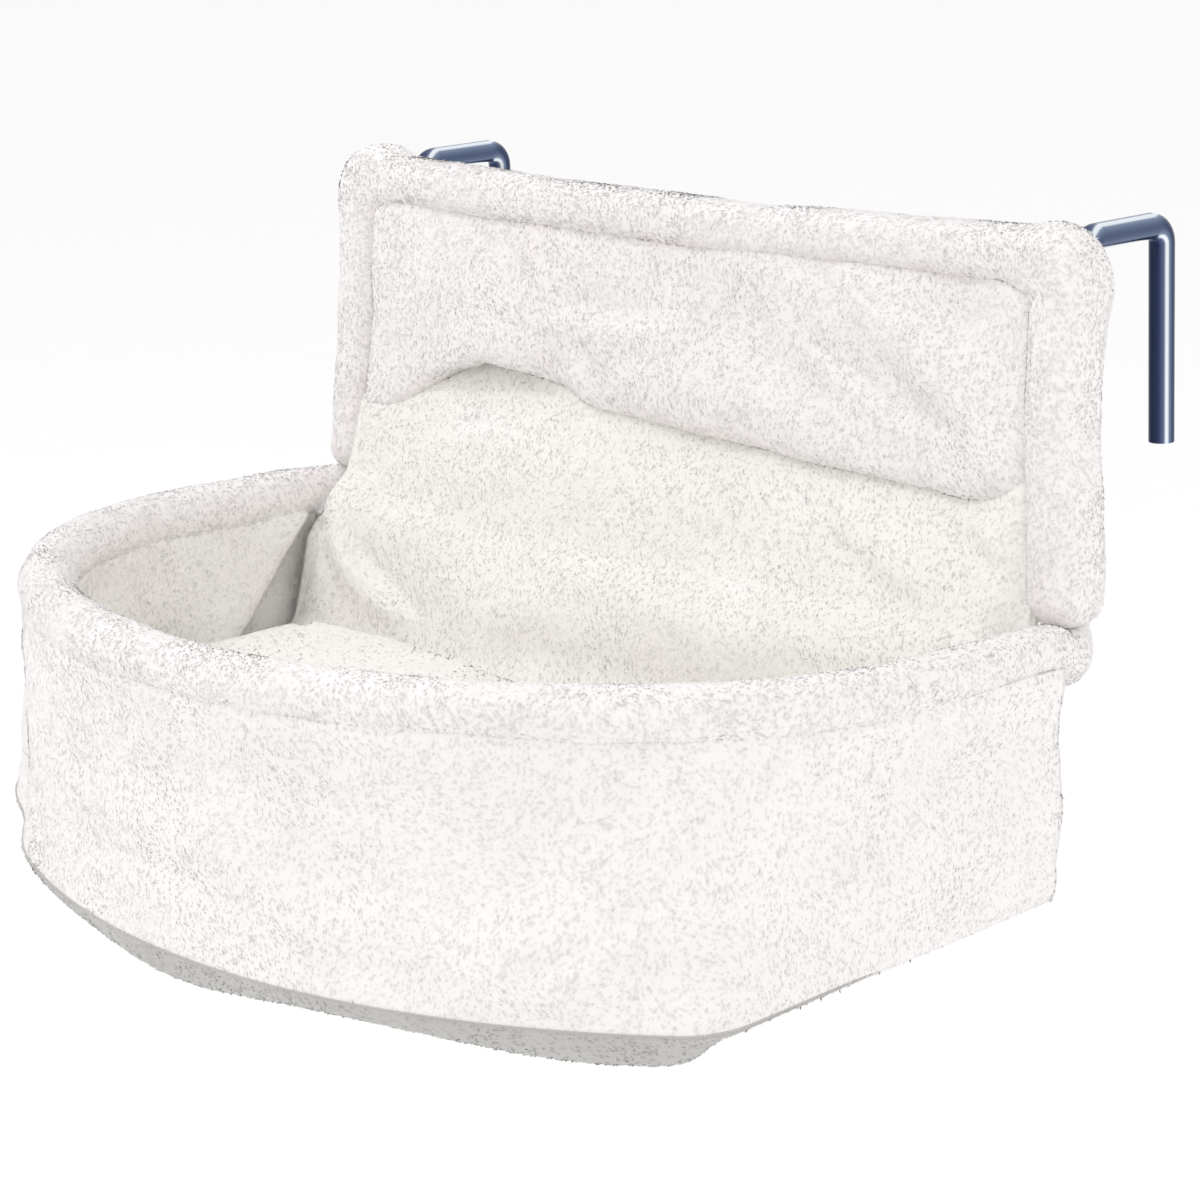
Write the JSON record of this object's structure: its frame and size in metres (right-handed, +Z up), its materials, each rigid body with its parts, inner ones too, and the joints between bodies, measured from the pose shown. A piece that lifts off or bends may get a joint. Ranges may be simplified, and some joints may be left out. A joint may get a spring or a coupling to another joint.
{
  "type": "radiator cat bed",
  "caption": "Plush basket on a round wire rim, folded up or down on a padded back panel with steel legs and hooks that hang it on a radiator.",
  "frame": {"origin": "midway between the undersides of the two hook arms, where they lie on the radiator's top edge", "axes": "+X along the panel, to the right as one faces the basket; +Y towards the radiator; +Z up"},
  "size_m": [0.476, 0.3479, 0.2815],
  "materials": {
    "plush_outer": "long-nap white plush",
    "plush_inner": "short-nap cream-white plush",
    "back_cloth": "plain white woven cloth",
    "wadding": "polyester wadding",
    "tape": "woven touch-fastener tape",
    "tube_steel": "bright blue-grey plated tube",
    "strap_steel": "zinc-plated strip",
    "fastener_steel": "zinc-plated fasteners"
  },
  "bodies": {
    "frame": {"left_leg": "tube_steel", "right_leg": "tube_steel", "left_hook": "tube_steel", "right_hook": "tube_steel", "cross_bar": "tube_steel", "left_pivot_strap": "strap_steel", "right_pivot_strap": "strap_steel", "pivot_bolts": "fastener_steel", "pivot_washers": "fastener_steel", "lock_nuts": "fastener_steel", "top_border": "plush_outer", "left_border": "plush_outer", "right_border": "plush_outer", "panel_front_cloth": "plush_inner", "panel_wadding": "wadding", "panel_rear_cloth": "back_cloth", "rear_flap": "back_cloth", "closure_loop_tape": "tape", "closure_hook_tape": "tape"},
    "basket": {"rim_tube": "tube_steel", "rim_sleeve": "plush_outer", "left_corner_sleeve": "plush_outer", "right_corner_sleeve": "plush_outer", "outer_wall": "plush_outer", "wall_wadding": "wadding", "wall_lining": "plush_inner", "back_outer_cloth": "back_cloth", "back_wadding": "wadding", "back_lining": "plush_inner", "bottom_cloth": "plush_outer", "floor_cushion": "plush_inner", "hinge_cloth": "plush_inner"}
  },
  "joints": [
    {"name": "basket_fold", "type": "hinge", "parent": "frame", "child": "basket", "pos_m": [0, -0.085, -0.1407], "axis": [-1, 0, 0], "range_deg": [0, 80], "deforming": ["left_corner_sleeve", "right_corner_sleeve", "hinge_cloth"]}
  ]
}
